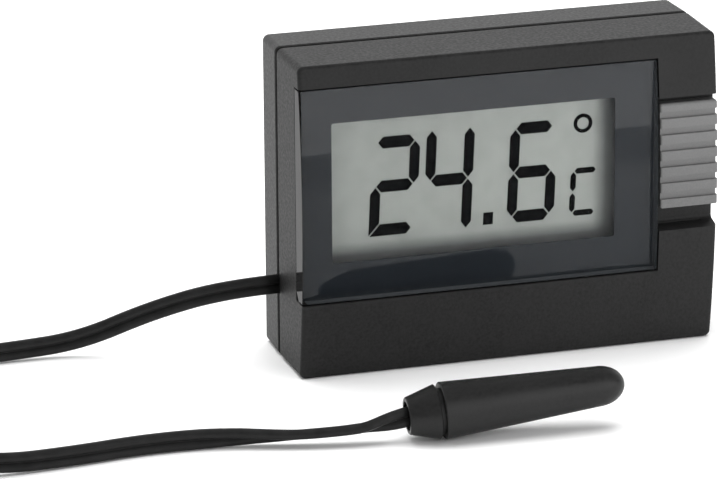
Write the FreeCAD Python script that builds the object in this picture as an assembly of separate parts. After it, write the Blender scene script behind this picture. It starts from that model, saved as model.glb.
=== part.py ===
"""Small two-shell LCD thermometer with a wired probe, millimetres.

Origin: middle of the case's underside. +X right, +Y to the back, +Z up; the display faces -Y.
Every sub-part is one file in parts/, named after its node.
"""
import FreeCAD
import Part
import math
import os
from FreeCAD import Vector

# ---- driving dimensions ---------------------------------------------------------------------
CASE_W = 54.0
CASE_H = 40.0
CASE_D = 17.5
CROWN = 1.7             # how far the middle of the front stands ahead of its top and bottom edges
WALL = 1.6
SEAM_Y = 2.25           # parting plane of the two shells
SEAM_GAP = 0.8          # shadow gap round the case, backed by the rear shell's lip
SEAM_CHAMFER = 0.14
LIP_FRONT_Y = SEAM_Y - 1.1
CORNER_R = 0.8          # corners of the case seen from the front
FRONT_EDGE_R = 0.45
REAR_EDGE_R = 0.3
SIDE_DRAFT_REAR = 0.17
SIDE_DRAFT_FRONT = 0.08
TOP_DRAFT_REAR = 0.03
TOP_DRAFT_FRONT = 0.12

FRONT_Y = -CASE_D / 2
REAR_Y = CASE_D / 2
EDGE_Y = FRONT_Y + CROWN
CROWN_R = ((CASE_H / 2) ** 2 + CROWN ** 2) / (2 * CROWN)
INNER_X = CASE_W / 2 - WALL
INNER_TOP = CASE_H - WALL
BIG = 60.0              # longer than the case in any direction, for cutting tools

# display window and what lies behind it
WINDOW_RIGHT = 19.1
WINDOW_Z = (10.05, 36.95)
WINDOW_GAP = 0.2
WINDOW_BACK_Y = -6.9    # flat inner face of the lens
FLANGE_BACK_Y = -5.85   # the lens wraps round the left edge of the case to here
FLANGE_T = 0.45
MASK_T = 0.1
SILL_BEVEL = 0.12       # broken edge of the front shell below the lens
LAYER_GAP = 0.02        # between films, glass and lens, which only touch at points
SEAT_Y = -6.76          # front of the plate that carries lens and mask
PLATE_BACK_Y = -5.4
VIEW_X = (-22.66, 13.95)
VIEW_Z = (14.5, 32.42)

GLASS_X = (-24.0, 15.0)
GLASS_Z = (12.5, 34.2)
LIT_X = (-24.0, 14.95)
LIT_Z = (13.65, 34.2)   # the upper glass alone reaches lower, over the contact strip
STRIP_Z = (12.75, 13.5)  # contact strip between the upper glass and the board
GLASS_FRONT_Y = -5.1
GLASS_T = 0.45
POLARISER_T = 0.15
POLARISER_Y = GLASS_FRONT_Y - LAYER_GAP - POLARISER_T
SEGMENT_T = 0.04
SEGMENT_Y = GLASS_FRONT_Y + GLASS_T + LAYER_GAP      # front face of the segments
LOWER_GLASS_Y = SEGMENT_Y + SEGMENT_T + LAYER_GAP
REFLECTOR_Y = LOWER_GLASS_Y + GLASS_T + LAYER_GAP

# slide switch
NOTCH_LEFT = WINDOW_RIGHT + WINDOW_GAP
NOTCH_TOP = 32.05
NOTCH_FLOOR_Y = -6.55
NOTCH_FLOOR_Z = 16.05
KNOB_X = (19.43, 26.95)
KNOB_Z = (18.05, 31.38)
KNOB_BACK_Y = -6.66
KNOB_TRAVEL = 2.2       # down from the upper end of its slot
STEM_Z = (22.6, 27.1)   # stem between the knob and the wiper
RIB_COUNT = 7
RIB_PITCH = 2.06
RIB_FIRST = 1.55        # middle of the lowest groove above the knob's lower edge
GROOVE_W = 0.86
GROOVE_DEPTH = 0.34

BOARD_Y = (-1.6, -0.6)
CELL_X = 13.0
CELL_Z = 19.0
CELL_R = 5.8
CELL_Y = (1.7, 7.1)     # 5.4 mm high button cell
DOOR_Z = (11.15, 26.85)
DOOR_LEFT = 4.75
DOOR_Y = 7.22

CASE_SCREWS = ((-22.5, 4.6), (22.5, 4.6))
BOARD_SCREWS = ((-12.0, 6.5), (12.0, 6.5), (20.0, 35.4))

# lead: flat twin, width over its two cores and thickness
LEAD_W = 2.5
LEAD_T = 1.25
EXIT_Z = 9.55
EXIT_X = -CASE_W / 2

# probe, lying in front of the case on the end of the lead
PROBE_HEADING = -5.08   # degrees from +X, seen from above
PROBE_RISE = 4.68       # degrees the tip stands above the collar
PROBE_REST = (-16.8, -32.16)     # where the widest ring of the sleeve touches the ground
PROBE_L = 26.67
COLLAR_END_R = 2.28
COLLAR_R = 3.3
COLLAR_L = 3.71
SLEEVE_START = 4.23
SLEEVE_R = 3.47
SLEEVE_TIP_R = 2.43
TIP_DOME_L = 3.2
CORE_R = 0.3
BEAD_R = 1.1
BEAD_X = 21.0           # sensor bead, along the probe

# coil of the unseen length, on the same surface
COIL_X = -95.0
COIL_Y = -8.0
COIL_RADII = (12.5, 15.0, 17.5)
COIL_BASE = 0.4
COIL_LAYERS = 4
TIE_T = 0.3
TIE_W = 3.0


# ---- helpers --------------------------------------------------------------------------------
def box(x, y, z):
    """Block from three (low, high) pairs."""
    return Part.makeBox(x[1] - x[0], y[1] - y[0], z[1] - z[0], Vector(x[0], y[0], z[0]))


def rod_y(x, z, radius, y0, y1):
    return Part.makeCylinder(radius, y1 - y0, Vector(x, y0, z), Vector(0, 1, 0))


def prism(points, along):
    """Closed polygon of vectors, swept along a vector."""
    wire = Part.makePolygon(list(points) + [points[0]])
    return Part.Face(wire).extrude(along)


def prism_x(yz_points, x0, x1):
    return prism([Vector(x0, y, z) for y, z in yz_points], Vector(x1 - x0, 0, 0))


def prism_y(xz_points, y0, y1):
    return prism([Vector(x, y0, z) for x, z in xz_points], Vector(0, y1 - y0, 0))


def prism_z(xy_points, z0, z1):
    return prism([Vector(x, y, z0) for x, y in xy_points], Vector(0, 0, z1 - z0))


def revolve_x(edges):
    """Solid of revolution about X from edges that close a profile."""
    return Part.Face(Part.Wire(edges)).revolve(Vector(0, 0, 0), Vector(1, 0, 0), 360)


def line(p, q):
    return Part.LineSegment(Vector(*p), Vector(*q)).toShape()


def lines(points):
    return [line(p, q) for p, q in zip(points, points[1:])]


def front_y(z):
    """The convex front: an arc about a horizontal axis."""
    height = z - CASE_H / 2
    return FRONT_Y + CROWN_R - math.sqrt(CROWN_R ** 2 - height ** 2)


def crowned(x, z, y_back, inset=0.0):
    """Block whose front is the convex front of the case, moved back by inset."""
    y_low, y_high = front_y(z[0]) + inset, front_y(z[1]) + inset
    z_mid = (z[0] + z[1]) / 2
    low = Vector(x[0], y_low, z[0])
    high = Vector(x[0], y_high, z[1])
    arc = Part.Arc(low, Vector(x[0], front_y(z_mid) + inset, z_mid), high).toShape()
    back = lines([(x[0], y_high, z[1]), (x[0], y_back, z[1]), (x[0], y_back, z[0]), (x[0], y_low, z[0])])
    return Part.Face(Part.Wire([arc] + back)).extrude(Vector(x[1] - x[0], 0, 0))


def edges_along_y(shape):
    """Straight edges that run front to back."""
    chosen = []
    for edge in shape.Edges:
        a, b = edge.Vertexes[0].Point, edge.Vertexes[-1].Point
        if abs(a.y - b.y) > 3 and abs(a.x - b.x) < 1 and abs(a.z - b.z) < 1:
            chosen.append(edge)
    return chosen


def outer_loop(shape, test):
    """Edges whose middle point passes the test."""
    return [edge for edge in shape.Edges if test(edge.valueAt(
        (edge.FirstParameter + edge.LastParameter) / 2))]


def save(node, shape):
    """One clean solid, or a group of separate solids, to its own file."""
    if not shape.isValid():
        raise ValueError(node + " is not a valid shape")
    shape.exportStep("parts/" + node + ".step")
    print(f"{node:26s} solids {len(shape.Solids):2d}  volume {shape.Volume:9.2f}")


# ---- the two shells -------------------------------------------------------------------------
def case_outline(y_front, y_back):
    """Envelope of the case between two planes, with the draft of both shells."""
    half = CASE_W / 2
    plan = [(-half + SIDE_DRAFT_FRONT, FRONT_Y), (half - SIDE_DRAFT_FRONT, FRONT_Y), (half, SEAM_Y),
            (half - SIDE_DRAFT_REAR, REAR_Y), (-half + SIDE_DRAFT_REAR, REAR_Y), (-half, SEAM_Y)]
    side = [(FRONT_Y, 0), (FRONT_Y, CASE_H - TOP_DRAFT_FRONT), (SEAM_Y, CASE_H),
            (REAR_Y, CASE_H - TOP_DRAFT_REAR), (REAR_Y, 0)]
    body = prism_z(plan, 0, CASE_H).common(prism_x(side, -half, half))
    return body.common(box((-BIG, BIG), (y_front, y_back), (-1, BIG)))


def lead_slot():
    """Opening for the flat lead through the left wall, shared by both shells."""
    play = 0.1
    half_t = LEAD_T / 2 + play
    half_w = LEAD_W / 2 + play
    x = (-CASE_W / 2 - 1, -INNER_X + 1)
    straight = box(x, (SEAM_Y - half_t, SEAM_Y + half_t),
                   (EXIT_Z - half_w + half_t, EXIT_Z + half_w - half_t))
    for z in (EXIT_Z - half_w + half_t, EXIT_Z + half_w - half_t):
        end = Part.makeCylinder(half_t, x[1] - x[0], Vector(x[0], SEAM_Y, z), Vector(1, 0, 0))
        straight = straight.fuse(end)
    return straight


def notch():
    """Recess of the slide switch, open to the front and to the right."""
    floor_corner = Part.Arc(Vector(NOTCH_LEFT, NOTCH_FLOOR_Y, NOTCH_FLOOR_Z),
                            Vector(NOTCH_LEFT, NOTCH_FLOOR_Y - 0.15, NOTCH_FLOOR_Z - 0.38),
                            Vector(NOTCH_LEFT, NOTCH_FLOOR_Y - 0.5, NOTCH_FLOOR_Z - 0.55)).toShape()
    x = NOTCH_LEFT
    rest = lines([(x, NOTCH_FLOOR_Y - 0.5, NOTCH_FLOOR_Z - 0.55), (x, FRONT_Y - 1, NOTCH_FLOOR_Z - 1.25),
                  (x, FRONT_Y - 1, NOTCH_TOP + 0.1), (x, NOTCH_FLOOR_Y, NOTCH_TOP),
                  (x, NOTCH_FLOOR_Y, NOTCH_FLOOR_Z)])
    return Part.Face(Part.Wire([floor_corner] + rest)).extrude(Vector(10, 0, 0))


def front_shell():
    y_seam = SEAM_Y - SEAM_GAP / 2
    body = crowned((-CASE_W / 2, CASE_W / 2), (0, CASE_H), y_seam)
    body = body.common(case_outline(FRONT_Y - 1, y_seam))
    body = body.makeFillet(CORNER_R, edges_along_y(body))
    body = body.makeFillet(FRONT_EDGE_R, outer_loop(body, lambda p: p.y < EDGE_Y + 0.8))
    body = body.makeChamfer(SEAM_CHAMFER, outer_loop(body, lambda p: p.y > y_seam - 0.01))
    cavity = crowned((-INNER_X, INNER_X), (WALL, INNER_TOP), SEAM_Y + 1, WALL)
    body = body.cut(cavity)
    rebate = 0.75
    body = body.cut(box((-CASE_W / 2 + rebate, CASE_W / 2 - rebate), (LIP_FRONT_Y - 0.2, SEAM_Y + 1),
                        (rebate, CASE_H - rebate)))
    plate = box((-INNER_X, INNER_X), (SEAT_Y, PLATE_BACK_Y), (9.0, INNER_TOP))
    body = body.fuse(plate)
    body = body.fuse([rod_y(x, z, 2.2, SEAT_Y, 1.6) for x, z in CASE_SCREWS])
    body = body.fuse([rod_y(x, z, 1.7, SEAT_Y, BOARD_Y[0]) for x, z in BOARD_SCREWS])
    body = body.cut(box((-BIG, WINDOW_RIGHT + WINDOW_GAP), (-BIG, SEAT_Y),
                        (WINDOW_Z[0] - WINDOW_GAP, WINDOW_Z[1] + WINDOW_GAP)))
    body = body.cut(box((-BIG, -CASE_W / 2 + FLANGE_T + WINDOW_GAP), (-BIG, FLANGE_BACK_Y + 0.25),
                        (WINDOW_Z[0] - WINDOW_GAP, WINDOW_Z[1] + WINDOW_GAP)))
    sill_z = WINDOW_Z[0] - WINDOW_GAP
    sill_y = front_y(sill_z)
    bevel = [(sill_y - 0.5, sill_z + 0.1), (sill_y - 0.5, sill_z - SILL_BEVEL - 0.5),
             (sill_y, sill_z - SILL_BEVEL), (sill_y + SILL_BEVEL, sill_z),
             (sill_y + SILL_BEVEL, sill_z + 0.1)]
    body = body.cut(prism_x(bevel, -BIG, WINDOW_RIGHT + WINDOW_GAP))
    body = body.cut(box((GLASS_X[0] - 0.4, GLASS_X[1] + 0.4), (SEAT_Y - 1, PLATE_BACK_Y + 0.1),
                        (GLASS_Z[0] - 0.2, GLASS_Z[1] + 0.6)))
    body = body.cut(notch())
    body = body.cut(box((22.0, 24.6), (NOTCH_FLOOR_Y - 1, PLATE_BACK_Y + 1),
                        (STEM_Z[0] - KNOB_TRAVEL - 0.2, STEM_Z[1] + 0.2)))
    for x, z in CASE_SCREWS:
        body = body.cut(rod_y(x, z, 0.88, -4.5, 2))
    for x, z in BOARD_SCREWS:
        body = body.cut(rod_y(x, z, 0.68, -5.2, 0))
    body = body.cut(lead_slot())
    return body.removeSplitter()


def rear_shell():
    y_seam = SEAM_Y + SEAM_GAP / 2
    body = case_outline(y_seam, REAR_Y)
    body = body.makeFillet(CORNER_R, edges_along_y(body))
    body = body.makeFillet(REAR_EDGE_R, outer_loop(body, lambda p: p.y > REAR_Y - 0.01))
    body = body.makeChamfer(SEAM_CHAMFER, outer_loop(body, lambda p: p.y < y_seam + 0.01))
    body = body.cut(box((-INNER_X, INNER_X), (0, REAR_Y - WALL), (WALL, INNER_TOP)))
    lip_out, lip_z = CASE_W / 2 - 0.85, (0.85, CASE_H - 0.85)
    lip = box((-lip_out, lip_out), (LIP_FRONT_Y, y_seam + 0.5), lip_z)
    lip = lip.cut(box((-INNER_X, INNER_X), (0, 5), (WALL, INNER_TOP)))
    body = body.fuse(lip)
    body = body.fuse([rod_y(x, z, 2.7, 1.7, REAR_Y - 1) for x, z in CASE_SCREWS])
    ring = rod_y(CELL_X, CELL_Z, CELL_R + 1.3, CELL_Y[0] - 0.1, DOOR_Y - 0.1)
    ribs = [box((CELL_X - 1, CELL_X + 1), (3.5, REAR_Y - WALL + 0.1), z)
            for z in ((DOOR_Z[0] - 2.6, DOOR_Z[0] + 1.4), (DOOR_Z[1] - 1.4, DOOR_Z[1] + 2.6))]
    body = body.fuse([ring] + ribs)
    body = body.cut(rod_y(CELL_X, CELL_Z, CELL_R + 0.15, 0, DOOR_Y + 1))
    body = body.cut(box((CELL_X + CELL_R - 0.4, CELL_X + CELL_R + 3), (0, DOOR_Y - 1.2),
                        (CELL_Z - 1.4, CELL_Z + 1.4)))
    body = body.cut(box((DOOR_LEFT - 0.15, BIG), (DOOR_Y - 0.1, BIG), (DOOR_Z[0] - 0.15, DOOR_Z[1] + 0.15)))
    body = body.cut(box((DOOR_LEFT - 0.15, BIG), (DOOR_Y + 0.1, DOOR_Y + 0.8),
                        (DOOR_Z[0] - 0.7, DOOR_Z[1] + 0.7)))
    for x, z in CASE_SCREWS:
        body = body.cut(rod_y(x, z, 1.15, 0, BIG))
        body = body.cut(rod_y(x, z, 2.05, 4.2, BIG))
    body = body.cut(lead_slot())
    return body.removeSplitter()


def battery_door():
    """Slides out to the right; its long edges run in grooves of the rear shell."""
    right = CASE_W / 2 - SIDE_DRAFT_REAR
    door = box((DOOR_LEFT, right), (DOOR_Y, REAR_Y), DOOR_Z)
    tongues = box((DOOR_LEFT, right - 2.5), (DOOR_Y + 0.2, DOOR_Y + 0.65),
                  (DOOR_Z[0] - 0.5, DOOR_Z[1] + 0.5))
    corner = outer_loop(door, lambda p: p.x > right - 0.01 and p.y > REAR_Y - 0.01)
    door = door.makeFillet(REAR_EDGE_R, corner)
    door = door.fuse(tongues)
    for step in range(5):
        x = right - 3.2 - 1.3 * step
        groove = box((x - 0.3, x + 0.3), (REAR_Y - 0.35, BIG), (DOOR_Z[0] + 3.5, DOOR_Z[1] - 3.5))
        door = door.cut(groove)
    return door.removeSplitter()


# ---- display --------------------------------------------------------------------------------
def display_window():
    """Clear lens, flush with the convex front, with a flange round the left edge."""
    left = -CASE_W / 2 + SIDE_DRAFT_FRONT / 2
    lens = crowned((left, WINDOW_RIGHT), WINDOW_Z, WINDOW_BACK_Y)
    lens = lens.makeFillet(0.15, outer_loop(lens, lambda p: p.y < WINDOW_BACK_Y - 0.2))
    flange = box((left, left + FLANGE_T), (WINDOW_BACK_Y - 0.3, FLANGE_BACK_Y), WINDOW_Z)
    corner = [(FLANGE_BACK_Y + 1, WINDOW_Z[0] - 1), (FLANGE_BACK_Y + 1, WINDOW_Z[0] + 1.1),
              (FLANGE_BACK_Y, WINDOW_Z[0] + 1.1), (FLANGE_BACK_Y - 0.9, WINDOW_Z[0]),
              (FLANGE_BACK_Y - 0.9, WINDOW_Z[0] - 1)]
    flange = flange.cut(prism_x(corner, -BIG, 0))
    return lens.fuse(flange).removeSplitter()


def window_mask():
    """Printed film behind the lens, with the viewing opening."""
    front = WINDOW_BACK_Y + LAYER_GAP
    film = box((-CASE_W / 2 + FLANGE_T + 0.1, WINDOW_RIGHT - 0.05), (front, front + MASK_T),
               (WINDOW_Z[0] + 0.05, WINDOW_Z[1] - 0.05))
    opening = box(VIEW_X, (WINDOW_BACK_Y - 1, 0), VIEW_Z)
    opening = opening.makeFillet(0.3, edges_along_y(opening))
    return film.cut(opening)


def lcd_frame():
    """Black carrier that holds the glass between the front plate and the board."""
    frame = box((GLASS_X[0] - 1.1, GLASS_X[1] + 1.3), (PLATE_BACK_Y + 0.12, BOARD_Y[0]),
                (GLASS_Z[0] - 1, GLASS_Z[1] + 0.9))
    frame = frame.cut(box((GLASS_X[0] - 0.05, GLASS_X[1] + 0.05), (-BIG, -3.2),
                          (GLASS_Z[0] - 0.05, GLASS_Z[1] + 0.05)))
    frame = frame.cut(box((GLASS_X[0] + 1.2, GLASS_X[1] - 1.2), (-BIG, BIG),
                          (GLASS_Z[0] + 3.2, GLASS_Z[1] - 1.2)))
    slot = box((GLASS_X[0] + 2, GLASS_X[1] - 2), (-BIG, BIG), (STRIP_Z[0] - 0.05, STRIP_Z[1] + 0.05))
    return frame.cut(slot)


def lcd_layer(x, z, y, thickness):
    return box(x, (y, y + thickness), z)


def horizontal_segment(x0, x1, z, t, tip):
    return [(x0, z), (x0 + tip, z + t / 2), (x1 - tip, z + t / 2), (x1, z), (x1 - tip, z - t / 2),
            (x0 + tip, z - t / 2)]


def vertical_segment(x, z0, z1, t, tip):
    return [(x, z0), (x - t / 2, z0 + tip), (x - t / 2, z1 - tip), (x, z1), (x + t / 2, z1 - tip),
            (x + t / 2, z0 + tip)]


def digit_segments(w, h, tv, th, names, tall=False, square_corner=False):
    """Outlines of the lit segments of one seven-segment digit in its own upright cell."""
    gap = 0.13
    tip_h, tip_v = 0.41 * th, 0.62 * tv
    left, right = tv / 2, w - tv / 2
    low, mid, high = th / 2, h / 2, h - th / 2
    end = h if tall else high - gap
    start = 0 if tall else low + gap
    shapes = {
        "a": horizontal_segment(left + gap, right - gap, high, th, tip_h),
        "g": horizontal_segment(left + gap, right - gap, mid, th, tip_h),
        "d": horizontal_segment(left + gap, right - gap, low, th, tip_h),
        "f": vertical_segment(left, mid + gap, end, tv, tip_v),
        "b": vertical_segment(right, mid + gap, end, tv, tip_v),
        "e": vertical_segment(left, start, mid - gap, tv, tip_v),
        "c": vertical_segment(right, start, mid - gap, tv, tip_v),
    }
    if square_corner:
        tip_x = left + gap + tip_h
        shapes["d"] = [(gap, 0), (tip_x, th), (right - gap - tip_h, th), (right - gap, low),
                       (right - gap - tip_h, 0)]
        shapes["e"] = [(0, 0.12), (0, mid - gap - tip_v), (left, mid - gap), (tv, mid - gap - tip_v),
                       (tv, th + gap)]
    return [shapes[name] for name in names]


def lcd_segments():
    """The lit pattern 24.6 with a degree ring and a small C, leaning slightly to the right."""
    lean = 0.045
    base_z = 16.75
    digit_w, digit_h = 6.2, 12.85
    upright, flat = 1.3, 1.5
    two = digit_segments(digit_w, digit_h - 0.15, upright, flat, "abged", square_corner=True)
    layout = [(-17.33, base_z, two),
              (-10.3, base_z, digit_segments(digit_w, digit_h, upright, flat, "fgbc", tall=True)),
              (0.55, base_z, digit_segments(digit_w, digit_h, upright, flat, "afgedc")),
              (8.75, base_z + 0.1, digit_segments(3.75, 6.2, 0.72, 0.74, "afed")),
              (-2.5, base_z + 0.1, [[(0, 0), (0, 1.56), (1.28, 1.56), (1.28, 0)]])]
    solids = []
    for x0, z0, outlines in layout:
        for outline in outlines:
            points = [(x0 + x + lean * z, z0 + z) for x, z in outline]
            solids.append(prism_y(points, SEGMENT_Y, SEGMENT_Y + SEGMENT_T))
    ring_x, ring_z = 10.55, 28.8
    ring = rod_y(ring_x, ring_z, 1.24, SEGMENT_Y, SEGMENT_Y + SEGMENT_T)
    solids.append(ring.cut(rod_y(ring_x, ring_z, 0.76, SEGMENT_Y - 1, 0)))
    return Part.makeCompound(solids)


# ---- slide switch ---------------------------------------------------------------------------
def knob_rib_grooves():
    """Six square grooves between seven ribs, running round the right edge of the knob."""
    cuts = []
    for i in range(RIB_COUNT - 1):
        z_mid = KNOB_Z[0] + RIB_FIRST + RIB_PITCH * i
        inner, outer = GROOVE_W / 2 - 0.04, GROOVE_W / 2 + 0.1
        y_out = front_y(z_mid) - 0.5
        y_in = front_y(z_mid) + GROOVE_DEPTH
        yz = [(y_out, z_mid - outer), (y_in, z_mid - inner), (y_in, z_mid + inner), (y_out, z_mid + outer)]
        cuts.append(prism_x(yz, KNOB_X[0] - 1, KNOB_X[1] + 1))
        x_in, x_out = KNOB_X[1] - 0.2, KNOB_X[1] + 0.5
        xz = [(x_out, z_mid - outer), (x_in, z_mid - inner), (x_in, z_mid + inner), (x_out, z_mid + outer)]
        cuts.append(prism_y(xz, FRONT_Y - 1, KNOB_BACK_Y - 0.4))
    return cuts


def slide_knob():
    body = crowned(KNOB_X, KNOB_Z, KNOB_BACK_Y, 0.02)
    right = KNOB_X[1] - 0.01
    top = outer_loop(body, lambda p: p.z > KNOB_Z[1] - 0.01 and (p.y < KNOB_BACK_Y - 1.2 or p.x > right))
    body = body.makeFillet(0.4, top)
    sides = outer_loop(body, lambda p: p.y < KNOB_BACK_Y - 1 and p.z < KNOB_Z[1] - 0.5 and (
        p.x < KNOB_X[0] + 0.01 or p.x > right))
    body = body.makeFillet(0.25, sides)
    body = body.cut(knob_rib_grooves())
    body = body.cut(box((KNOB_X[0] + 1.2, KNOB_X[1] - 1.2), (-7.3, 0), (KNOB_Z[0] + 1.2, KNOB_Z[1] - 1.2)))
    body = body.fuse(box((22.25, 24.35), (-7.6, -2.8), STEM_Z))
    barbs = box((21.75, 24.85), (PLATE_BACK_Y + 0.12, PLATE_BACK_Y + 0.7), (23.6, 26.1))
    return body.fuse(barbs).removeSplitter()


def wiper_contact():
    """Sprung strip on the end of the knob's stem, bridging two of three pads."""
    t = 0.15
    strip = box((21.9, 24.7), (-2.8, -2.8 + t), (22.4, 27.3))
    fingers = []
    for z_root, z_tip in ((26.9, 25.5), (22.8, 24.2)):
        up = 1 if z_tip > z_root else -1
        leg = [(-2.8 + t - 0.02, z_root), (-1.72, z_tip), (-1.72, z_tip + 0.35 * up),
               (-1.87, z_tip + 0.35 * up), (-2.8 + t - 0.02, z_root + 0.3 * up)]
        fingers.append(prism_x(leg, 22.2, 24.4))
    return strip.fuse(fingers).removeSplitter()


def switch_pads():
    return Part.makeCompound([box((21.8, 24.8), (BOARD_Y[0] - 0.06, BOARD_Y[0]), (z, z + 1.7))
                              for z in (20.4, 22.7, 25.0)])


# ---- board and its parts --------------------------------------------------------------------
def circuit_board():
    board = box((-24.4, 24.4), BOARD_Y, (2.4, 37.6))
    for x, z in BOARD_SCREWS:
        board = board.cut(rod_y(x, z, 0.85, -2, 0))
    for x in ((-25, -19.8), (19.8, 25)):
        board = board.cut(box(x, (-2, 0), (2, 7.3)))
    return board


def chip_blob():
    """Drop of black epoxy over the bare chip."""
    radius, height = 4.6, 1.3
    ball_r = (radius ** 2 + height ** 2) / (2 * height)
    ball = Part.makeSphere(ball_r, Vector(-9, BOARD_Y[1] + height - ball_r, 21))
    return ball.common(box((-BIG, BIG), (BOARD_Y[1], BIG), (0, BIG)))


def chip_parts(places, size):
    """Small rectangular parts soldered flat on the back of the board."""
    w, t, h = size
    return Part.makeCompound([box((x, x + w), (BOARD_Y[1], BOARD_Y[1] + t), (z, z + h)) for x, z in places])


def room_thermistor():
    """Bead on two legs that measures the air in the case."""
    bead = Part.makeSphere(1.1, Vector(-19, 3.2, 33.5))
    legs = [rod_y(-19 + dx, 33.5, 0.22, BOARD_Y[1], 3.0) for dx in (-0.6, 0.6)]
    return bead.fuse(legs)


def battery_contact_negative():
    """Leaf spring from the board to the cap of the cell."""
    t = 0.15
    y0 = BOARD_Y[1]
    leaf = [(CELL_X - 5, y0), (CELL_X - 2.5, y0), (CELL_X + 1.5, CELL_Y[0] - t - 0.12),
            (CELL_X + 2.6, CELL_Y[0] - t - 0.12), (CELL_X + 2.6, CELL_Y[0] - 0.1),
            (CELL_X + 1.4, CELL_Y[0] - 0.1), (CELL_X - 2.6, y0 + t), (CELL_X - 5, y0 + t)]
    return prism_z(leaf, CELL_Z - 1.5, CELL_Z + 1.5)


def battery_contact_positive():
    """Upright strip that presses on the side of the can."""
    x = CELL_X + CELL_R + 0.04
    t = 0.18
    y0 = BOARD_Y[1]
    strip = [(x, y0), (x, 5.4), (x + t, 5.4), (x + t, y0 + t), (x + 2.4, y0 + t), (x + 2.4, y0)]
    return prism_z(strip, CELL_Z - 1, CELL_Z + 1)


# ---- button cell ----------------------------------------------------------------------------
def cell_can():
    can = rod_y(CELL_X, CELL_Z, CELL_R, CELL_Y[0] + 0.25, CELL_Y[1])
    can = can.makeFillet(0.4, outer_loop(can, lambda p: p.y > CELL_Y[1] - 0.01))
    return can.cut(rod_y(CELL_X, CELL_Z, CELL_R - 0.25, 0, CELL_Y[1] - 0.25))


def cell_gasket():
    ring = rod_y(CELL_X, CELL_Z, CELL_R - 0.25, CELL_Y[0] + 0.2, CELL_Y[0] + 2.2)
    return ring.cut(rod_y(CELL_X, CELL_Z, CELL_R - 0.95, 0, BIG))


def cell_cap():
    outer = CELL_R - 0.95
    cap = rod_y(CELL_X, CELL_Z, outer, CELL_Y[0], CELL_Y[0] + 2.2)
    cap = cap.makeFillet(0.3, outer_loop(cap, lambda p: p.y < CELL_Y[0] + 0.01))
    return cap.cut(rod_y(CELL_X, CELL_Z, outer - 0.25, CELL_Y[0] + 0.25, BIG))


def cell_core():
    """The cell's powder and gel, filling cap and can."""
    in_can = rod_y(CELL_X, CELL_Z, CELL_R - 0.25, CELL_Y[0] + 2.2, CELL_Y[1] - 0.25)
    in_cap = rod_y(CELL_X, CELL_Z, CELL_R - 1.2, CELL_Y[0] + 0.25, CELL_Y[0] + 2.2)
    return in_can.fuse(in_cap).removeSplitter()


# ---- fasteners ------------------------------------------------------------------------------
def cross_screw(x, z, head_r, head_t, shank_r, y_head, y_tip):
    """Pan head towards the back, with a cross recess."""
    head = rod_y(x, z, head_r, y_head, y_head + head_t)
    head = head.makeFillet(0.3, outer_loop(head, lambda p: p.y > y_head + head_t - 0.01))
    arm, half = head_r * 0.6, head_r * 0.14
    for dx, dz in ((arm, half), (half, arm)):
        head = head.cut(box((x - dx, x + dx), (y_head + head_t - 0.5, BIG), (z - dz, z + dz)))
    point = Part.makeCone(0.25, shank_r, 0.8, Vector(x, y_tip, z), Vector(0, 1, 0))
    return head.fuse([rod_y(x, z, shank_r, y_tip + 0.8, y_head), point]).removeSplitter()


def case_screws():
    return Part.makeCompound([cross_screw(x, z, 1.8, 1.3, 0.85, 4.2, -4.2) for x, z in CASE_SCREWS])


def board_screws():
    return Part.makeCompound([cross_screw(x, z, 1.4, 1.0, 0.65, BOARD_Y[1], -5.0) for x, z in BOARD_SCREWS])


# ---- lead -----------------------------------------------------------------------------------
def twin_section_x(x0, x1, y, z):
    """Straight piece of the flat twin lead along X, wide side upright."""
    r = LEAD_T / 2
    offset = LEAD_W / 2 - r
    cores = [Part.makeCylinder(r, x1 - x0, Vector(x0, y, z + side * offset), Vector(1, 0, 0))
             for side in (-1, 1)]
    web = box((x0, x1), (y - 0.42, y + 0.42), (z - offset, z + offset))
    return web.fuse(cores).removeSplitter()


def lead_tail():
    """The lead's end inside the case, through the slot in the left wall."""
    return twin_section_x(EXIT_X, EXIT_X + 4.2, SEAM_Y, EXIT_Z)


def tube(points, radius):
    """Round tube along straight runs joined by tangent arcs, each as large as its runs allow."""
    pts = [Vector(*p) for p in points]
    edges, radii = [], []
    start = pts[0]
    for before, corner, after in zip(pts, pts[1:], pts[2:]):
        into, out = (corner - before), (after - corner)
        reach = 0.45 * min(into.Length, out.Length)
        turn = into.getAngle(out)
        into.normalize()
        out.normalize()
        a, b = corner - into * reach, corner + out * reach
        bend_r = reach / math.tan(turn / 2)
        side = (out - into).normalize()
        middle = corner + side * (bend_r / math.cos(turn / 2) - bend_r)
        edges.append(Part.LineSegment(start, a).toShape())
        edges.append(Part.Arc(a, middle, b).toShape())
        radii.append(bend_r)
        start = b
    edges.append(Part.LineSegment(start, pts[-1]).toShape())
    path = Part.Wire(edges)
    profile = Part.Wire([Part.Circle(pts[0], pts[1] - pts[0], radius).toShape()])
    body = path.makePipeShell([profile], True, False)
    expected = math.pi * radius ** 2 * path.Length
    return body, radii, path.Length, expected


def lead_cores():
    """The two insulated cores from the end of the lead to their pads on the board."""
    cores = []
    for side in (-1, 1):
        z = EXIT_Z + side * 0.62
        route = [(EXIT_X + 4.2, SEAM_Y, z), (EXIT_X + 6.6, SEAM_Y, z), (EXIT_X + 7.4, 1.0, z + side * 0.7),
                 (EXIT_X + 7.4, BOARD_Y[1] + 0.4, z + side * 0.7)]
        cores.append(tube(route, 0.32)[0])
    return Part.makeCompound(cores)


def solder_joints():
    domes = []
    for side in (-1, 1):
        z = EXIT_Z + side * 1.32
        ball = Part.makeSphere(0.95, Vector(EXIT_X + 7.4, BOARD_Y[1] - 0.45, z))
        domes.append(ball.common(box((-BIG, 0), (BOARD_Y[1], BOARD_Y[1] + 0.4), (0, BIG))))
    return Part.makeCompound(domes)


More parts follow.
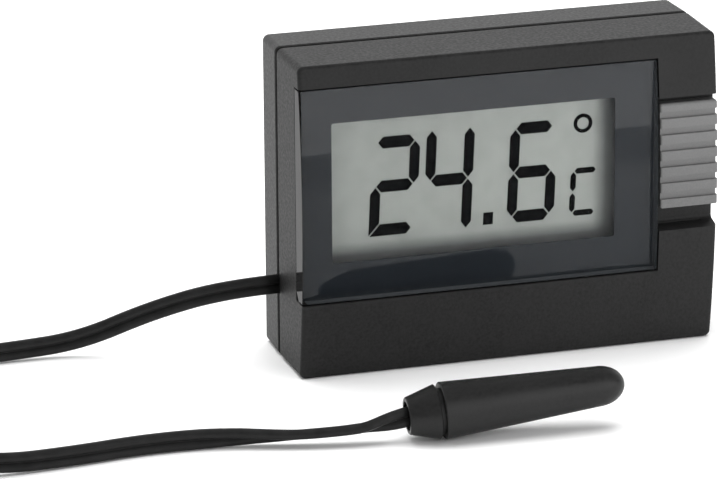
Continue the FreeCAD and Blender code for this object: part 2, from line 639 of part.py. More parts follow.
# ---- probe ----------------------------------------------------------------------------------
def probe_placement():
    turn = FreeCAD.Rotation(Vector(0, 0, 1), PROBE_HEADING)
    rise = FreeCAD.Rotation(Vector(0, 1, 0), -PROBE_RISE)
    rotation = turn.multiply(rise)
    axis = rotation.multVec(Vector(1, 0, 0))
    rest_z = SLEEVE_R * math.cos(math.radians(PROBE_RISE))
    start = Vector(PROBE_REST[0], PROBE_REST[1], rest_z) - axis * SLEEVE_START
    return FreeCAD.Placement(start, rotation), start, axis


def placed(shape):
    shape.Placement = probe_placement()[0]
    return shape


def collar_bore():
    """Recess and bore in the end of the collar, where the lead goes in."""
    recess = Part.makeCylinder(1.8, 2.1, Vector(-1, 0, 0), Vector(1, 0, 0))
    return recess.fuse(Part.makeCylinder(1.4, 3.0, Vector(1, 0, 0), Vector(1, 0, 0)))


def probe_cap():
    """Tapered collar with a neck that plugs into the sleeve."""
    edge = 0.12
    profile = lines([(0, 0, 0), (0, COLLAR_END_R - edge, 0), (edge, COLLAR_END_R, 0),
                     (COLLAR_L - edge, COLLAR_R, 0), (COLLAR_L, COLLAR_R - edge, 0), (COLLAR_L, 2.75, 0),
                     (7.4, 2.75, 0), (7.4, 0, 0), (0, 0, 0)])
    return placed(revolve_x(profile).cut(collar_bore()).cut(probe_cores()))


def dome_edge(x0, radius, length):
    """Quarter ellipse from (x0, radius) to the tip on the axis."""
    ellipse = Part.Ellipse(Vector(x0 + length, 0, 0), Vector(x0, radius, 0), Vector(x0, 0, 0))
    return Part.ArcOfEllipse(ellipse, 0, math.pi / 2).toShape()


def sleeve_bore():
    """Inside of the sleeve beyond the collar's neck, tapering to a blunt point in the tip."""
    dome = PROBE_L - TIP_DOME_L
    return revolve_x(lines([(7.4, 0, 0), (7.4, 2.6, 0), (dome, SLEEVE_TIP_R - 0.75, 0),
                            (dome + 1.8, 0.9, 0), (dome + 1.8, 0, 0), (7.4, 0, 0)]))


def probe_sleeve():
    edge = 0.12
    dome = PROBE_L - TIP_DOME_L
    profile = lines([(SLEEVE_START, 0, 0), (SLEEVE_START, SLEEVE_R - edge, 0),
                     (SLEEVE_START + edge, SLEEVE_R, 0), (dome, SLEEVE_TIP_R, 0)])
    profile += [dome_edge(dome, SLEEVE_TIP_R, TIP_DOME_L), line((PROBE_L, 0, 0), (SLEEVE_START, 0, 0))]
    socket = Part.makeCylinder(2.75, 3.4, Vector(4, 0, 0), Vector(1, 0, 0))
    return placed(revolve_x(profile).cut([sleeve_bore(), socket]))


def probe_cores():
    """The lead's two bared cores, from inside the collar to the sensor bead."""
    start = 3.2
    return [Part.makeCylinder(CORE_R, BEAD_X - 0.5 - start, Vector(start, 0, side * 0.6), Vector(1, 0, 0))
            for side in (-1, 1)]


def probe_wires():
    return placed(Part.makeCompound(probe_cores()))


def probe_thermistor():
    return placed(Part.makeSphere(BEAD_R, Vector(BEAD_X, 0, 0)).cut(probe_cores()))


def probe_potting():
    fill = sleeve_bore().cut(Part.makeSphere(BEAD_R, Vector(BEAD_X, 0, 0)))
    return placed(fill.cut(probe_cores()))


# ---- lead outside the case ------------------------------------------------------------------
def lead_routes():
    """Hand-laid points of the two runs: case to coil, and probe to coil."""
    placement, start, axis = probe_placement()
    in_bore = start + axis * 0.6
    level = COIL_BASE + LEAD_W / 2
    outer = COIL_RADII[-1]
    case_run = [(EXIT_X, SEAM_Y, EXIT_Z), (-34.0, 2.3, 9.5), (-42.5, 5.8, 6.5), (-50.5, 10.4, 1.9),
                (-59.5, 10.9, 1.26), (-69.0, 10.3, 1.3), (-77.5, 9.6, 1.5),
                (COIL_X + 9.6, COIL_Y + outer, level)]
    probe_run = [tuple(in_bore), (-24.7, -31.5, 2.2), (-33.0, -29.9, 1.6), (-41.5, -27.2, 1.26),
                 (-51.0, -26.4, 1.26), (-61.0, -27.8, 1.26), (-70.0, -28.4, 1.4), (-77.5, -26.8, 2.7),
                 (COIL_X + 9.6, COIL_Y - outer, level + LEAD_W)]
    return {"lead_case_run": case_run, "lead_probe_run": probe_run}


def lead_runs():
    for node, points in lead_routes().items():
        body, radii, length, expected = tube(points, LEAD_W / 2)
        save(node, body)
        print("   length %.1f  least radius %.1f  volume %.2f of %.2f" % (
            length, min(radii), body.Volume, expected))
        print("   radii", " ".join("%.0f" % r for r in radii))


def coil_solid():
    """Outer shape of the tied coil: its outermost column of turns is only two layers high."""
    half = LEAD_W / 2
    inner, step, outer = COIL_RADII[0] - half, COIL_RADII[1] + half, COIL_RADII[2] + half
    top = COIL_BASE + COIL_LAYERS * LEAD_W
    low = COIL_BASE + 2 * LEAD_W
    profile = lines([(inner, 0, COIL_BASE), (outer, 0, COIL_BASE), (outer, 0, low), (step, 0, low),
                     (step, 0, top), (inner, 0, top), (inner, 0, COIL_BASE)])
    ring = Part.Face(Part.Wire(profile)).revolve(Vector(0, 0, 0), Vector(0, 0, 1), 360)
    ring.translate(Vector(COIL_X, COIL_Y, 0))
    return ring


def coil_tie():
    """Thin strap round the bundle on the side away from the case, with a small lock."""
    half = LEAD_W / 2
    r_in = COIL_RADII[0] - half - 0.25
    r_step = COIL_RADII[1] + half + 0.12
    r_out = COIL_RADII[2] + half + 0.15
    top = COIL_BASE + COIL_LAYERS * LEAD_W + 0.1
    low = COIL_BASE + 2 * LEAD_W + 0.05
    t = TIE_T
    inner = [(r_in, t), (r_out, t), (r_out, low), (r_step, top), (r_in, top)]
    outer = [(r_in - t, 0), (r_out + t, 0), (r_out + t, low + 0.15), (r_step + 0.2, top + t),
             (r_in - t, top + t)]
    loop = [[Vector(COIL_X - r, COIL_Y - TIE_W / 2, z) for r, z in ring] for ring in (outer, inner)]
    along = Vector(0, TIE_W, 0)
    strap = prism(loop[0], along).cut(prism(loop[1], along))
    lock = box((COIL_X - r_step + 0.6, COIL_X - r_step + 4.2), (COIL_Y - 2.2, COIL_Y + 2.2),
               (top + 0.1, top + 1.8))
    lock = lock.makeFillet(0.4, outer_loop(lock, lambda p: p.z > top + 1.7))
    return strap.fuse(lock).removeSplitter()


# ---- write every node -----------------------------------------------------------------------
def main():
    os.makedirs("parts", exist_ok=True)
    save("front_shell", front_shell())
    save("rear_shell", rear_shell())
    save("battery_door", battery_door())
    save("display_window", display_window())
    save("window_mask", window_mask())
    save("lcd_frame", lcd_frame())
    save("lcd_front_polariser", lcd_layer(LIT_X, LIT_Z, POLARISER_Y, POLARISER_T))
    save("lcd_upper_glass", lcd_layer(GLASS_X, GLASS_Z, GLASS_FRONT_Y, GLASS_T))
    save("lcd_segments", lcd_segments())
    save("lcd_lower_glass", lcd_layer(GLASS_X, LIT_Z, LOWER_GLASS_Y, GLASS_T))
    save("lcd_rear_reflector", lcd_layer(LIT_X, LIT_Z, REFLECTOR_Y, POLARISER_T))
    save("zebra_strip", box((GLASS_X[0] + 2.2, GLASS_X[1] - 2.2), (SEGMENT_Y, BOARD_Y[0]), STRIP_Z))
    save("slide_knob", slide_knob())
    save("wiper_contact", wiper_contact())
    save("switch_pads", switch_pads())
    save("circuit_board", circuit_board())
    save("chip_blob", chip_blob())
    resistors = ((-19, 24), (-19, 20.5), (-2, 31), (1.5, 31), (-2, 27.5))
    save("chip_resistors", chip_parts(resistors, (1.6, 0.5, 0.8)))
    save("chip_capacitors", chip_parts(((-1.5, 12), (-5.5, 12), (-17, 13.5)), (2.0, 1.1, 1.25)))
    save("room_thermistor", room_thermistor())
    save("battery_contact_negative", battery_contact_negative())
    save("battery_contact_positive", battery_contact_positive())
    save("cell_can", cell_can())
    save("cell_gasket", cell_gasket())
    save("cell_cap", cell_cap())
    save("cell_core", cell_core())
    save("case_screws", case_screws())
    save("board_screws", board_screws())
    save("lead_tail", lead_tail())
    save("lead_cores", lead_cores())
    save("solder_joints", solder_joints())
    save("probe_cap", probe_cap())
    save("probe_sleeve", probe_sleeve())
    save("probe_wires", probe_wires())
    save("probe_thermistor", probe_thermistor())
    save("probe_potting", probe_potting())
    lead_runs()
    save("lead_coil", coil_solid())
    save("lead_tie", coil_tie())


main()
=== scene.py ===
import math

import bpy
from mathutils import Matrix, Vector


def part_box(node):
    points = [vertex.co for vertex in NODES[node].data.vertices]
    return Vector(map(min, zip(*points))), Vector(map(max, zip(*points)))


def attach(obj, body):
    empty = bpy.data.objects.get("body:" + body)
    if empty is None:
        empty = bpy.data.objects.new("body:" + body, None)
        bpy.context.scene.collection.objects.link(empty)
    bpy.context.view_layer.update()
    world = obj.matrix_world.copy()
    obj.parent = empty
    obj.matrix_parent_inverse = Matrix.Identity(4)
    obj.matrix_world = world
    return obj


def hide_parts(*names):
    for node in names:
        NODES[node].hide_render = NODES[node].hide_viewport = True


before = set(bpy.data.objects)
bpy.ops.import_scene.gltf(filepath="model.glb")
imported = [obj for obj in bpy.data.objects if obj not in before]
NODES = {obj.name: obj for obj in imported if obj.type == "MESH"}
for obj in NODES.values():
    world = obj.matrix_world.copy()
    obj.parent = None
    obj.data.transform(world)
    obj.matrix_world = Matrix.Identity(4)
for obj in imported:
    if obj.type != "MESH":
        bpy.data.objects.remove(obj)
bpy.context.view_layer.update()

MM = 0.001              # metres in a millimetre

# ---- camera ---------------------------------------------------------------------------------
CAMERA_AZIMUTH = math.radians(-16.878)
CAMERA_ELEVATION = math.radians(17.868)
CAMERA_ROLL = math.radians(-0.378)
CAMERA_DISTANCE = 0.6
CAMERA_TARGET = Vector((-17.0225, 0.0, 15.0016)) * MM
SENSOR_WIDTH = 36.0     # millimetres, as is the focal length
LENS = 241.8
CLIP_START = 0.01
CLIP_END = 20


def add_camera():
    """Long lens from the front left, a little above the case."""
    a, e = CAMERA_AZIMUTH, CAMERA_ELEVATION
    back = Vector((math.sin(a) * math.cos(e), -math.cos(a) * math.cos(e), math.sin(e)))
    level = Vector((math.cos(a), math.sin(a), 0))
    upright = back.cross(level)
    right = math.cos(CAMERA_ROLL) * level + math.sin(CAMERA_ROLL) * upright
    up = back.cross(right)
    data = bpy.data.cameras.new("camera")
    data.sensor_width = SENSOR_WIDTH
    data.sensor_fit = "HORIZONTAL"
    data.lens = LENS
    data.clip_start = CLIP_START
    data.clip_end = CLIP_END
    camera = bpy.data.objects.new("camera", data)
    turn = Matrix((right, up, back)).transposed().to_4x4()
    camera.matrix_world = Matrix.Translation(CAMERA_TARGET + back * CAMERA_DISTANCE) @ turn
    bpy.context.scene.collection.objects.link(camera)
    bpy.context.scene.camera = camera


# ---- lead, in millimetres --------------------------------------------------------------------
LEAD_W = 2.5            # over the two cores
LEAD_T = 1.25
WAIST = 0.2             # half the thickness of the web between the cores
CORE_POINTS = 13        # outline points round each core, from START on, STEP degrees apart
CORE_START = -150
CORE_STEP = 25
COIL_CENTRE = (-95.0, -8.0)
TURN_POINTS = 16
RAMP_SHARE = 0.22       # part of each turn in which it moves over to the next place in the coil
SETTLE = 0.3            # how much of its spare height the lead drops by where it lies flat
FLOOR_GAP = 0.02
SPLINE_STEPS = 8
CASE_RUN = [(-27.0, 2.25, 9.55), (-34.0, 2.3, 9.5), (-42.5, 5.8, 6.5), (-50.5, 10.4, 1.9),
            (-59.5, 10.9, 1.26), (-69.0, 10.3, 1.3), (-77.5, 9.6, 1.5), (-85.4, 9.5, 1.65)]
PROBE_RUN = [(-20.4043, -31.84, 3.164), (-24.7, -31.5, 2.2), (-33.0, -29.9, 1.6),
             (-41.5, -27.2, 1.26), (-51.0, -26.4, 1.26), (-61.0, -27.8, 1.26), (-70.0, -28.4, 1.4),
             (-77.5, -26.8, 2.7), (-85.4, -25.5, 4.15)]
# radius and height of each turn, and those at which the last half turn ends
COIL_PLACES = [(17.5, 1.65), (15.0, 1.65), (12.5, 1.65), (12.5, 4.15), (15.0, 4.15), (15.0, 6.65),
               (12.5, 6.65), (12.5, 9.15), (15.0, 9.15)]
COIL_END = (17.5, 4.15)
UPRIGHT = math.pi / 2   # lean of the lead where it stands on its narrow side
MEAN_LEAN = 0.96        # of upright, along most of the lead
WAVER = 0.05
WAVER_RATE = 0.11
TWIST_SHARE = 0.08      # the last part of the lead's points, before the probe, that can be twisted
TWIST = math.radians(72)
TWIST_FROM = -47.0      # along x, where the twist starts to grow, and the length it grows over
TWIST_RISE = 15
TWIST_TO = -21.0        # along x, where the twist has faded, and the length it fades over
TWIST_FALL = 6


def coil_points():
    """Turns of the put-away length, from the case run's end round to the probe run's end."""
    points = []
    places = COIL_PLACES + [COIL_END]
    total = len(COIL_PLACES) * TURN_POINTS + TURN_POINTS // 2
    for i in range(total + 1):
        turn, step = divmod(i, TURN_POINTS)
        share = step / TURN_POINTS
        here = places[turn]
        after = places[min(turn + 1, len(places) - 1)]
        blend = max(0.0, (share - 1 + RAMP_SHARE) / RAMP_SHARE)
        if turn == len(COIL_PLACES):
            here, after = COIL_PLACES[-1], COIL_END
            blend = 2 * share
        elif turn == len(COIL_PLACES) - 1:
            blend = 0.0
        radius = here[0] + (after[0] - here[0]) * blend
        z = here[1] + (after[1] - here[1]) * blend
        angle = math.pi / 2 + 2 * math.pi * i / TURN_POINTS
        x = COIL_CENTRE[0] + radius * math.cos(angle)
        y = COIL_CENTRE[1] + radius * math.sin(angle)
        points.append((x, y, z))
    return points


def nurbs_line(name, control):
    """Points read along the NURBS spline with these control points."""
    curve = bpy.data.curves.new(name, "CURVE")
    curve.dimensions = "3D"
    spline = curve.splines.new("NURBS")
    spline.points.add(len(control) - 1)
    for point, place in zip(spline.points, control):
        point.co = (place[0] * MM, place[1] * MM, place[2] * MM, 1)
    spline.order_u = 3
    spline.use_endpoint_u = True
    curve.resolution_u = SPLINE_STEPS
    carrier = bpy.data.objects.new(name, curve)
    bpy.context.scene.collection.objects.link(carrier)
    bpy.context.view_layer.update()
    mesh = bpy.data.meshes.new_from_object(carrier)
    points = [v.co / MM for v in mesh.vertices]
    bpy.data.objects.remove(carrier)
    bpy.data.meshes.remove(mesh)
    return points


def twin_section():
    """Outline of two round cores side by side with a shallow groove between them."""
    r = LEAD_T / 2
    offset = LEAD_W / 2 - r
    outline = []
    for side in (1, -1):
        for step in range(CORE_POINTS):
            angle = math.radians(CORE_START + CORE_STEP * step)
            outline.append((side * (offset + r * math.cos(angle)), side * r * math.sin(angle)))
        outline.append((0.0, side * WAIST))
    return outline


def smooth(share):
    """Eases a share from 0 to 1, level at both ends."""
    share = min(max(share, 0.0), 1.0)
    return share * share * (3 - 2 * share)


def lead_lean(index, count, x):
    """How the flat lead stands, in radians: more than upright leans its top to the front."""
    if (count - 1 - index) / count > TWIST_SHARE:
        return UPRIGHT * (MEAN_LEAN + WAVER * math.sin(index * WAVER_RATE))
    over = TWIST * smooth((x - TWIST_FROM) / TWIST_RISE) * smooth((TWIST_TO - x) / TWIST_FALL)
    return UPRIGHT + over


def add_lead():
    """The whole flat lead, from the case through the coil to the probe, as one smooth mesh."""
    control = CASE_RUN + coil_points()[1:-1] + PROBE_RUN[::-1]
    points = nurbs_line("lead_route", control)
    outline = twin_section()
    verts, path = [], []
    for i, point in enumerate(points):
        before, after = points[max(i - 1, 0)], points[min(i + 1, len(points) - 1)]
        ahead = (after - before).normalized()
        level = Vector((-ahead.y, ahead.x, 0)).normalized()
        upright = ahead.cross(level)
        lean = lead_lean(i, len(points), point.x)
        wide = math.cos(lean) * level + math.sin(lean) * upright
        thin = ahead.cross(wide)
        half_height = (LEAD_W - LEAD_T) / 2 * abs(math.sin(lean)) + LEAD_T / 2
        spare = max(point.z - half_height - FLOOR_GAP, 0.0)
        lower = min(SETTLE * (LEAD_W / 2 - half_height), spare)
        centre = point - Vector((0, 0, lower))
        path.append(centre * MM)
        verts += [(centre + wide * a + thin * b) * MM for a, b in outline]
    n = len(outline)
    faces = [tuple(range(n))[::-1], tuple(range(len(verts) - n, len(verts)))]
    for i in range(len(points) - 1):
        for j in range(n):
            k = (j + 1) % n
            faces.append((i * n + j, i * n + k, (i + 1) * n + k, (i + 1) * n + j))
    mesh = bpy.data.meshes.new("lead")
    mesh.from_pydata(verts, [], faces)
    mesh.update()
    mesh.shade_smooth()
    lead = bpy.data.objects.new("lead", mesh)
    bpy.context.scene.collection.objects.link(lead)
    return lead, path


# ---- material building blocks ---------------------------------------------------------------
class Shader:
    """One node material with a Principled surface and object coordinates in millimetres."""

    def __init__(self, name):
        self.material = bpy.data.materials.new(name)
        self.material.use_nodes = True
        self.tree = self.material.node_tree
        self.surface = self.tree.nodes["Principled BSDF"]
        place = self.add("ShaderNodeTexCoord")
        scale = self.add("ShaderNodeMapping")
        scale.inputs["Scale"].default_value = (1 / MM, 1 / MM, 1 / MM)
        self.link(place.outputs["Object"], scale.inputs["Vector"])
        self.place = scale.outputs["Vector"]

    def add(self, kind, **settings):
        node = self.tree.nodes.new(kind)
        for key, value in settings.items():
            setattr(node, key, value)
        return node

    def link(self, source, target):
        self.tree.links.new(source, target)

    def fixed(self, **values):
        """Numbers and colours that are the same all over, on the surface's own sockets."""
        for key, value in values.items():
            self.surface.inputs[key.replace("_", " ")].default_value = value

    def noise(self, per_mm, detail=2.0, stretch=None):
        """Noise from 0 to 1 with this many features to a millimetre, longer where stretch is small."""
        node = self.add("ShaderNodeTexNoise")
        node.inputs["Scale"].default_value = per_mm
        node.inputs["Detail"].default_value = detail
        vector = self.place
        if stretch:
            shrink = self.add("ShaderNodeMapping")
            shrink.inputs["Scale"].default_value = stretch
            self.link(vector, shrink.inputs["Vector"])
            vector = shrink.outputs["Vector"]
        self.link(vector, node.inputs["Vector"])
        return node.outputs["Fac"]

    def ramp(self, value, low, high, start=0.3, end=0.7):
        """A number that runs from low to high as value runs from start to end."""
        node = self.add("ShaderNodeMapRange")
        limits = {"From Min": start, "From Max": end, "To Min": low, "To Max": high}
        for key, number in limits.items():
            node.inputs[key].default_value = number
        self.link(value, node.inputs["Value"])
        return node.outputs["Result"]

    def mix(self, factor, first, second):
        """Colour between two: each a colour or another node's output."""
        node = self.add("ShaderNodeMix", data_type="RGBA")
        self.link(factor, node.inputs["Factor"])
        for socket, colour in ((node.inputs[6], first), (node.inputs[7], second)):
            if isinstance(colour, tuple):
                socket.default_value = (*colour, 1)
            else:
                self.link(colour, socket)
        return node.outputs[2]

    def math(self, operation, first, second):
        """Arithmetic on two values: each a number or another node's output."""
        node = self.add("ShaderNodeMath", operation=operation)
        for socket, value in zip(node.inputs, (first, second)):
            if isinstance(value, (int, float)):
                socket.default_value = value
            else:
                self.link(value, socket)
        return node.outputs[0]

    def along(self, axis):
        """The place along one axis, in millimetres."""
        node = self.add("ShaderNodeSeparateXYZ")
        self.link(self.place, node.inputs[0])
        return node.outputs[axis]

    def colour(self, output):
        self.link(output, self.surface.inputs["Base Color"])

    def rough(self, output):
        self.link(output, self.surface.inputs["Roughness"])

    def bump(self, height, strength, distance_mm):
        node = self.add("ShaderNodeBump")
        node.inputs["Strength"].default_value = strength
        node.inputs["Distance"].default_value = distance_mm * MM
        self.link(height, node.inputs["Height"])
        self.link(node.outputs["Normal"], self.surface.inputs["Normal"])


def grey(value, tint=(1, 1, 1)):
    """A colour of this brightness, neutral unless tinted."""
    return tuple(value * t for t in tint)


ROUGH_SPREAD = 0.1      # the roughness of plastic varies by this much either way
WORN = 1.15             # worn plastic is this much lighter


def textured_plastic(name, dark, light, rough, grain=4.0, depth=0.02, specular=0.5,
                     tint=(1, 1, 1), strength=0.5):
    """Moulded plastic: fine grain in height and colour, and slow cloudy wear over it."""
    s = Shader(name)
    fine = s.noise(grain, 3.0)
    cloud = s.noise(0.12, 3.0)
    s.fixed(Specular_IOR_Level=specular)
    grained = s.mix(s.ramp(fine, 0, 1), grey(dark, tint), grey(light, tint))
    worn = s.mix(s.ramp(cloud, 0, 0.35, 0.4, 0.75), grained, grey(light * WORN, tint))
    s.colour(worn)
    s.rough(s.ramp(fine, rough - ROUGH_SPREAD, rough + ROUGH_SPREAD))
    s.bump(fine, strength, depth)
    return s.material


# ---- materials, with distances in millimetres ------------------------------------------------
PRINTED_EDGE = (0.03, 0.05)     # from its outline in, the lens turns from opaque to clear
LEFT_PRINT = (0.6, 0.8)         # from its left edge in, its dark print turns to the grey of painted reflection
MASK_SLOPE_X = 0.08             # the mask film lies this much askew
MASK_SLOPE_Z = 0.035
PAINTED_SHADE_RIGHT = (11.85, 13.65)     # painted shade: the display darkens from lit to shaded between these along x
PAINTED_SHADE_LOW = (14.5, 16.2)         # and its painted shade gives way to its lit tone between these along z


def clear_lens():
    """Polished clear acrylic with opaque edges: a near black print round the left, and elsewhere a
    grey that is painted reflection, matching the glossy mask beside them.
    """
    s = Shader("clear_lens")
    low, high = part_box("display_window")
    x, z = s.along(0), s.along(2)
    inside = s.math("MINIMUM", s.math("SUBTRACT", x, low.x / MM),
                    s.math("SUBTRACT", high.x / MM, x))
    inside = s.math("MINIMUM", inside, s.math("SUBTRACT", z, low.z / MM))
    inside = s.math("MINIMUM", inside, s.math("SUBTRACT", high.z / MM, z))
    s.link(s.ramp(inside, 1.0, 0.03, *PRINTED_EDGE), s.surface.inputs["Alpha"])
    left_print = s.ramp(x, 0.0, 1.0, low.x / MM + LEFT_PRINT[0], low.x / MM + LEFT_PRINT[1])
    # painted reflection: the grey on the top, right and bottom edges stands for the glossy mask's
    # reflection beside them
    s.colour(s.mix(left_print, grey(0.018), (0.052, 0.056, 0.060)))
    s.fixed(Specular_IOR_Level=0.042)
    s.rough(s.ramp(s.noise(0.5, 4.0, (1, 1, 0.3)), 0.012, 0.035))
    return s.material


def clear_film(name, tint):
    """Clear sheet bonded to its neighbours: it mirrors nothing and only tints what is behind."""
    s = Shader(name)
    s.fixed(Transmission_Weight=1.0, IOR=1.0, Specular_IOR_Level=0.0)
    s.colour(s.mix(s.ramp(s.noise(0.4), 0, 1), tint, grey(0.97, tint)))
    s.rough(s.ramp(s.noise(1.5), 0.0, 0.01))
    return s.material


def printed_mask():
    """Glossy dark blue-grey print with a faint speckle, on a film that lies a little askew."""
    s = Shader("printed_mask")
    speckle = s.ramp(s.noise(9.0, 2.0), 0, 1, 0.35, 0.7)
    s.colour(s.mix(speckle, (0.0105, 0.013, 0.016), (0.0135, 0.0165, 0.020)))
    s.rough(s.ramp(s.noise(0.3), 0.012, 0.02))
    s.fixed(Specular_IOR_Level=0.215)
    sideways = s.math("MULTIPLY", s.along(0), MASK_SLOPE_X)
    upwards = s.math("MULTIPLY", s.along(2), MASK_SLOPE_Z)
    s.bump(s.math("SUBTRACT", sideways, upwards), 1.0, 1.0)
    return s.material


def lcd_reflector():
    """Grey reflective film with painted shade along its lower and right edges."""
    s = Shader("lcd_reflector")
    grain = s.noise(7.0, 2.0)
    bright = s.mix(s.ramp(grain, 0, 1), (0.325, 0.345, 0.325), (0.343, 0.365, 0.343))
    top = s.ramp(s.along(2), 0.0, 1.0, *PAINTED_SHADE_LOW)
    side = s.ramp(s.along(0), 1.0, 0.0, *PAINTED_SHADE_RIGHT)
    # painted shade: towards the lower and right edges the colour falls to this dark grey, where the
    # mask shades the display
    s.colour(s.mix(s.math("MULTIPLY", top, side), (0.135, 0.141, 0.14), bright))
    s.rough(s.ramp(grain, 0.45, 0.6))
    s.bump(grain, 0.1, 0.01)
    return s.material


def lcd_ink():
    """Black segments with hardly any gloss."""
    s = Shader("lcd_ink")
    s.colour(s.mix(s.ramp(s.noise(5.0), 0, 1), grey(0.001), grey(0.003)))
    s.rough(s.ramp(s.noise(3.0), 0.45, 0.6))
    s.fixed(Specular_IOR_Level=0.03)
    return s.material


def metal(name, colour, rough, streak=(1, 1, 1)):
    """Bare metal with a fine grain, drawn out along the axis whose streak is small."""
    s = Shader(name)
    grain = s.noise(3.0, 3.0, streak)
    s.fixed(Metallic=1.0)
    s.colour(s.mix(s.ramp(grain, 0, 1), colour, grey(0.82, colour)))
    s.rough(s.ramp(grain, rough, rough + 0.15))
    s.bump(grain, 0.2, 0.005)
    return s.material


def lead_jacket():
    """Satin black jacket with handling marks and a fine grain."""
    s = Shader("lead_jacket")
    marks = s.noise(0.7, 4.0)
    fine = s.noise(5.0, 2.0)
    s.colour(s.mix(s.ramp(marks, 0, 1), grey(0.011), grey(0.017)))
    s.rough(s.ramp(marks, 0.3, 0.42))
    s.fixed(Specular_IOR_Level=0.12)
    s.bump(fine, 0.12, 0.01)
    return s.material


def circuit_board_green():
    """Green lacquer over a faint weave."""
    s = Shader("board_mask")
    weave = s.add("ShaderNodeTexBrick")
    weave.inputs["Scale"].default_value = 1.2
    weave.inputs["Mortar Size"].default_value = 0.06
    greens = {"Color1": (0.02, 0.10, 0.03), "Color2": (0.024, 0.115, 0.035),
              "Mortar": (0.05, 0.17, 0.06)}
    for socket, colour in greens.items():
        weave.inputs[socket].default_value = (*colour, 1)
    turned = s.add("ShaderNodeMapping")
    turned.inputs["Rotation"].default_value = (math.pi / 2, 0, 0)
    s.link(s.place, turned.inputs["Vector"])
    s.link(turned.outputs["Vector"], weave.inputs["Vector"])
    s.colour(weave.outputs["Color"])
    s.rough(s.ramp(s.noise(1.0), 0.25, 0.4))
    s.bump(weave.outputs["Fac"], 0.2, 0.02)
    return s.material


def dress_nodes():
    """Gives every CAD node its finish, and returns the lead's for its visual piece."""
    moulding = {"rough": 0.52, "grain": 2.6, "depth": 0.05, "strength": 0.7}
    front = textured_plastic("front_plastic", 0.008, 0.017, specular=0.155, **moulding)
    # painted light: the rear shell and battery door are the front shell's plastic, made lighter here
    # to stand for the light on the rear shell's top
    rear = textured_plastic("rear_plastic_painted_light", 0.015, 0.028, specular=0.21, **moulding)
    black = textured_plastic("inner_plastic", 0.006, 0.010, 0.6, specular=0.3)
    knob = textured_plastic("knob_plastic", 0.105, 0.127, 0.42, grain=5.0, depth=0.012,
                            specular=0.3)
    probe = textured_plastic("probe_plastic", 0.006, 0.011, 0.40, grain=2.4, depth=0.012,
                             specular=0.23)
    rubber = textured_plastic("soft_rubber", 0.012, 0.022, 0.7, specular=0.3)
    epoxy = textured_plastic("black_epoxy", 0.006, 0.010, 0.18, grain=1.0, depth=0.02)
    chip = textured_plastic("chip_ceramic", 0.02, 0.035, 0.55, grain=6.0)
    tan = textured_plastic("tan_ceramic", 0.30, 0.38, 0.5, grain=6.0, tint=(1.0, 0.68, 0.42))
    powder = textured_plastic("cell_powder", 0.03, 0.06, 0.85, grain=5.0)
    resin = textured_plastic("cast_resin", 0.010, 0.018, 0.25, grain=1.0)
    glass = clear_film("lcd_glass", (0.98, 0.98, 0.98))
    lead = lead_jacket()
    # the reflector's finish, painted shade included, also goes on the lower glass
    reflector = lcd_reflector()
    steel = metal("plated_steel", (0.60, 0.59, 0.57), 0.25, (1, 1, 0.2))
    finishes = {
        "front_shell": front, "rear_shell": rear, "battery_door": rear,
        "display_window": clear_lens(), "window_mask": printed_mask(),
        "lcd_frame": black, "lcd_upper_glass": glass,
        "lcd_front_polariser": clear_film("polariser", (0.94, 0.94, 0.94)),
        "lcd_lower_glass": reflector, "lcd_segments": lcd_ink(), "lcd_rear_reflector": reflector,
        "zebra_strip": rubber, "slide_knob": knob, "wiper_contact": steel,
        "switch_pads": metal("gold_flash", (0.85, 0.62, 0.25), 0.2),
        "circuit_board": circuit_board_green(),
        "chip_blob": epoxy, "chip_resistors": chip, "chip_capacitors": tan,
        "room_thermistor": epoxy,
        "battery_contact_negative": steel, "battery_contact_positive": steel,
        "cell_can": metal("cell_steel", (0.66, 0.65, 0.63), 0.2, (1, 0.15, 1)),
        "cell_gasket": rubber,
        "cell_cap": metal("cap_steel", (0.62, 0.61, 0.59), 0.3), "cell_core": powder,
        "case_screws": metal("screw_zinc", (0.42, 0.42, 0.43), 0.3), "board_screws": steel,
        "lead_tail": lead, "lead_cores": lead,
        "solder_joints": metal("solder", (0.75, 0.75, 0.76), 0.2),
        "lead_tie": textured_plastic("tie_nylon", 0.010, 0.018, 0.4, grain=2.0),
        "probe_cap": probe, "probe_sleeve": probe, "probe_potting": resin,
        "probe_thermistor": epoxy,
        "probe_wires": metal("bare_copper", (0.80, 0.45, 0.28), 0.25),
    }
    for node, finish in finishes.items():
        for place in NODES[node].material_slots:
            place.material = finish
    return lead


# ---- floor and light, in metres and watts ----------------------------------------------------
FLOOR_SIZE = 4.0
FLOOR_DROP = 0.00005
WORLD_BRIGHT_SIDE = (0, 1, -0.9)
WORLD_RAMP = {"From Min": -0.4, "From Max": 0.5, "To Min": 0.42, "To Max": 1.6}
SOFTBOX_PLACE = (-0.05, 0.10, 0.8)
SOFTBOX_SIZE = (0.9, 0.9)
SOFTBOX_POWER = 10.5
CARD_PLACE = (0.09, -0.11, 0.0448)
CARD_AIM = (0.09, 0, 0.0448)
CARD_SIZE = (0.21, 0.08)
CARD_POWER = 0.115


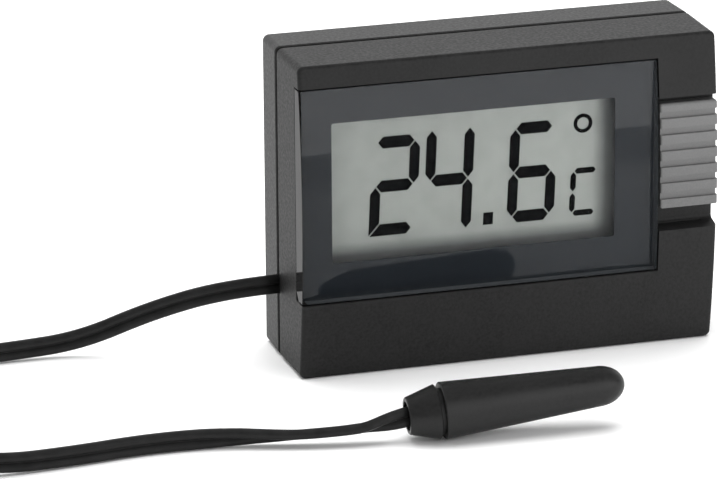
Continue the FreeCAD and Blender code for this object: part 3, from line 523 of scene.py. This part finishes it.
def add_floor():
    """Plain pale surface under everything."""
    half = FLOOR_SIZE / 2
    corners = [(-half, -half), (half, -half), (half, half), (-half, half)]
    mesh = bpy.data.meshes.new("floor")
    mesh.from_pydata([(x, y, -FLOOR_DROP) for x, y in corners], [], [(0, 1, 2, 3)])
    floor = bpy.data.objects.new("floor", mesh)
    bpy.context.scene.collection.objects.link(floor)
    s = Shader("pale_floor")
    s.colour(s.mix(s.ramp(s.noise(0.02), 0, 1), grey(0.88), grey(0.9)))
    s.rough(s.ramp(s.noise(0.05), 0.85, 0.9))
    s.fixed(Specular_IOR_Level=0.1)
    mesh.materials.append(s.material)


def add_panel(name, place, aim, size, power, shown_in_gloss=True):
    """A soft rectangular light, itself out of the camera's sight."""
    data = bpy.data.lights.new(name, "AREA")
    data.shape = "RECTANGLE"
    data.size, data.size_y = size
    data.energy = power
    panel = bpy.data.objects.new(name, data)
    panel.location = place
    panel.rotation_euler = (Vector(aim) - Vector(place)).to_track_quat("-Z", "Y").to_euler()
    panel.visible_camera = False
    panel.visible_glossy = shown_in_gloss
    bpy.context.scene.collection.objects.link(panel)


def add_world():
    """Brightest low behind the object, dim overhead and on the camera's side."""
    world = bpy.data.worlds.new("world")
    bpy.context.scene.world = world
    world.use_nodes = True
    tree = world.node_tree
    place = tree.nodes.new("ShaderNodeTexCoord")
    turn = tree.nodes.new("ShaderNodeVectorMath")
    turn.operation = "DOT_PRODUCT"
    turn.inputs[1].default_value = WORLD_BRIGHT_SIDE
    tone = tree.nodes.new("ShaderNodeMapRange")
    for key, number in WORLD_RAMP.items():
        tone.inputs[key].default_value = number
    tree.links.new(place.outputs["Generated"], turn.inputs[0])
    tree.links.new(turn.outputs["Value"], tone.inputs["Value"])
    tree.links.new(tone.outputs["Result"], tree.nodes["Background"].inputs["Strength"])
    tree.nodes["Background"].inputs["Color"].default_value = (1, 1, 1, 1)


def add_lights():
    """The world, a softbox above and a card of light that the display window mirrors."""
    add_world()
    add_panel("top_softbox", SOFTBOX_PLACE, (0, 0, 0), SOFTBOX_SIZE, SOFTBOX_POWER,
              shown_in_gloss=False)
    add_panel("front_card", CARD_PLACE, CARD_AIM, CARD_SIZE, CARD_POWER)


# ---- assembly -------------------------------------------------------------------------------
scene = bpy.context.scene
scene.view_settings.view_transform = "Standard"
add_camera()
lead, lead_path = add_lead()
lead_finish = dress_nodes()
lead.data.materials.append(lead_finish)
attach(lead, "case")
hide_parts("lead_case_run", "lead_coil", "lead_probe_run")
add_floor()
add_lights()
